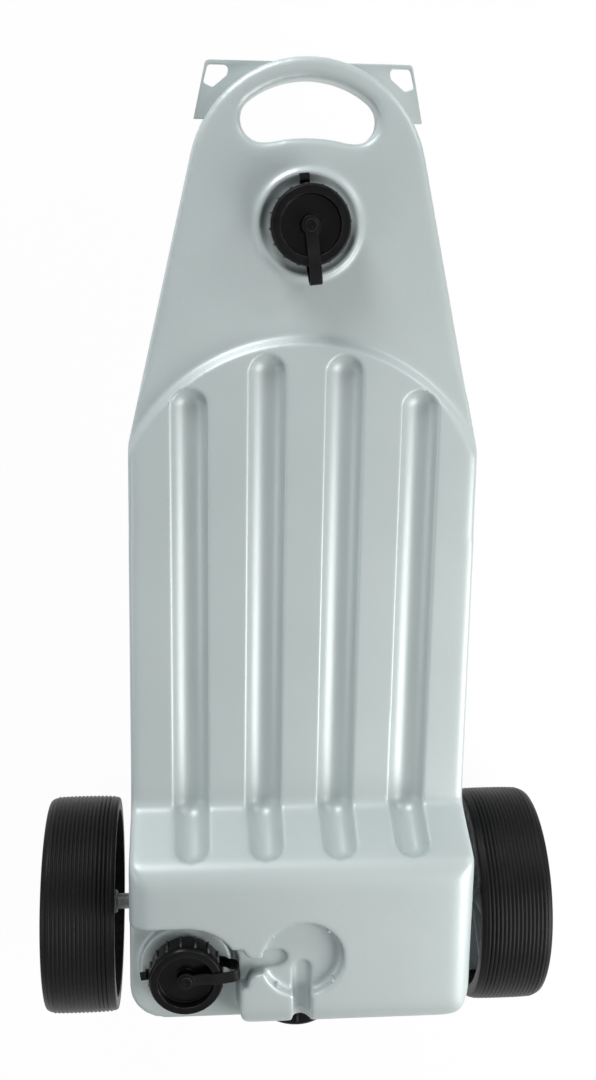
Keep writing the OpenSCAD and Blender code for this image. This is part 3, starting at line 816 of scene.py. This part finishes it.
def make_strap(name, place):
    """Collar, strap and swivel loop, moulded in one."""
    half = STRAP_T / 2
    over, under = CAP_Z + SEAT_GAP + half, SEAT_GAP + 1.35 * mm
    path = [(31 * mm, under), (36 * mm, under + 0.05 * mm), (39.5 * mm, 3.4 * mm), (42 * mm, 6.6 * mm),
            (45.5 * mm, 8.6 * mm), (FOLD_X - 1.5 * mm, 10.3 * mm), (FOLD_X + 0.7 * mm, 14 * mm),
            (FOLD_X + 1.2 * mm, 19 * mm), (FOLD_X + 0.7 * mm, 24.5 * mm), (FOLD_X - 1.8 * mm, over - 1.3 * mm),
            (FOLD_X - 6 * mm, over), (38 * mm, over), (31 * mm, over - 0.05 * mm), (26 * mm, over - 0.8 * mm),
            (21 * mm, over - 2.6 * mm), (16 * mm, LOOP_Z + half + 0.4 * mm), (11 * mm, LOOP_Z + half),
            (7 * mm, LOOP_Z + half)]
    strap = ribbon(name + "_strap", path, STRAP_W, STRAP_T - 0.25 * mm)
    loop = lathe("loop", rounded([(4.4 * mm, LOOP_Z, 0.3 * mm), (8.6 * mm, LOOP_Z, 0.5 * mm),
                                  (8.6 * mm, LOOP_Z + STRAP_T, 0.5 * mm), (4.4 * mm, LOOP_Z + STRAP_T, 0.3 * mm)]), 64)
    inner, outer = SPOUT_R + 1.1 * mm, SPOUT_R + 4 * mm
    collar = lathe("collar", rounded([(inner, SEAT_GAP, 0.3 * mm), (outer, SEAT_GAP, 0.6 * mm),
                                      (outer, 2.8 * mm, 0.6 * mm), (inner, 2.8 * mm, 0.3 * mm)]))
    tab = block("tab", (-39.5 * mm, -4.5 * mm, SEAT_GAP), (-31 * mm, 4.5 * mm, 2.8 * mm), 0.8 * mm, 3)
    riser = block("riser", (-39.5 * mm, -4.5 * mm, SEAT_GAP), (-37.3 * mm, 4.5 * mm, 5.6 * mm), 0.6 * mm, 3)
    end = block("tab_end", (-45 * mm, -4.5 * mm, 3.7 * mm), (-37.3 * mm, 4.5 * mm, 5.6 * mm), 0.6 * mm, 3)
    strap = placed(join(strap, loop, collar, tab, riser, end), place)
    smooth(strap, 40)
    dress(strap, "strap", "strap_plastic", None, name + "_tether", name + "_loop")
    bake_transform(strap)


# ---------------------------------------------------------------- wheels

def wheel_place(side):
    turn = Matrix.Rotation(math.radians(90 * side), 4, "Y")
    return Matrix.Translation((0, AXLE_Y, AXLE_Z)) @ turn


def make_tyre(name, side):
    inner, outer = tyre_low.x, tyre_high.x
    out_r = (tyre_high.z - tyre_low.z) / 2
    in_r = out_r - 9 * mm
    ribs, edge = 15, 5 * mm
    pitch = (outer - inner - 2 * edge - 1 * mm) / ribs
    lip_r = in_r - 5.2 * mm
    profile = [(in_r, outer - 1.9 * mm, 0), (in_r, inner + 1.9 * mm, 0), (lip_r, inner + 1.9 * mm, 0.5 * mm),
               (lip_r, inner, 0.8 * mm), (out_r - 2.6 * mm, inner, 1.6 * mm),
               (out_r - 1.4 * mm, inner + 3.4 * mm, 1.6 * mm)]
    for k in range(ribs):
        foot = inner + edge + pitch * k
        drop = 0.6 * mm * abs((k - 7) / 7) ** 3
        for share, depth in ((0.04, 1.0), (0.2, 0.25), (0.42, 0.0), (0.64, 0.25), (0.8, 1.0), (0.92, 1.25)):
            profile.append((out_r - drop - depth * mm, foot + share * pitch, 0))
    profile += [(out_r - 1.6 * mm, outer - 5 * mm, 1.2 * mm), (out_r - 4 * mm, outer, 3 * mm),
                (lip_r, outer, 0.8 * mm), (lip_r, outer - 1.9 * mm, 0.5 * mm)]
    tyre = lathe(name, rounded(profile), 160)
    web = (inner + outer) / 2 - 3 * mm
    # Painted shade: a dark rubber sheet over the pale rim's inside on the tank's side, so that the shaded gap beside
    # the tank shows black.
    shade_liner = [(lip_r, inner + mm), (lip_r, web), (lip_r + 1.5 * mm, web), (lip_r + 1.5 * mm, inner + mm)]
    tyre = placed(join(tyre, lathe("shade_liner", shade_liner, 160)), wheel_place(side))
    smooth(tyre, 60)
    wheel = "wheel_left" if side < 0 else "wheel_right"
    dress(tyre, "tyre", "tyre_rubber", wheel, name.replace("tread_", "tyre_"))


def make_hub(name, side):
    inner, outer = tyre_low.x + 2 * mm, tyre_high.x - 2 * mm
    rim_r = (hub_high.z - hub_low.z) / 2 - 0.1 * mm
    bore, boss = 8.4 * mm, 14 * mm
    middle = (inner + outer) / 2
    body = rounded([
        (bore, hub_low.x, 0.5 * mm), (bore + 2.4 * mm, hub_low.x, 0.8 * mm), (boss, middle - 2 * mm, 2 * mm),
        (rim_r - 3.5 * mm, middle - 2 * mm, 3 * mm), (rim_r - 3 * mm, inner, 0.7 * mm), (rim_r, inner, 0.7 * mm),
        (rim_r, outer, 0.7 * mm), (rim_r - 3 * mm, outer, 0.7 * mm), (rim_r - 3.5 * mm, middle + 2 * mm, 3 * mm),
        (boss, middle + 2 * mm, 2 * mm), (bore + 2.4 * mm, hub_high.x, 0.8 * mm), (bore, hub_high.x, 0.5 * mm)])
    hub = lathe(name, body, 128)
    spokes = []
    for k in range(8):
        spoke = block("spoke", (boss - 2 * mm, -1.5 * mm, inner + 10 * mm),
                      (rim_r - 2.5 * mm, 1.5 * mm, outer - 10 * mm), 0.6 * mm)
        spokes.append(placed(spoke, Matrix.Rotation(math.radians(45 * k), 4, "Z")))
    hub = placed(join(hub, *spokes), wheel_place(side))
    smooth(hub, 40)
    wheel = "wheel_left" if side < 0 else "wheel_right"
    dress(hub, "hub", "hub_plastic", wheel, "wheel_" + name)


# ---------------------------------------------------------------- everything, in order

bpy.context.scene.view_settings.view_transform = "Standard"
make_camera()
make_lights()
make_floor()
FINISHES = make_finishes()

make_tank()
make_nibs()
make_ears()
make_seam()
for closure, where in CLOSURES.items():
    make_spout(closure, where)
    make_cap(closure, where)
    make_strap(closure, where)
for hand, side in (("left", -1), ("right", 1)):
    make_tyre("tread_" + hand, side)
    make_hub("hub_" + hand, side)

CAD_FINISHES = {"axle": "steel", "inner_clip": "steel", "outer_washer": "steel", "axle_cap": "cap",
                "filler_seal": "seal", "corner_seal": "seal", "drain_seal": "seal"}
for node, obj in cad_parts.items():
    for start, finish in CAD_FINISHES.items():
        if node == start or node in (start + "_left", start + "_right"):
            for slot in obj.material_slots:
                slot.material = FINISHES[finish]

bpy.ops.object.select_all(action="DESELECT")
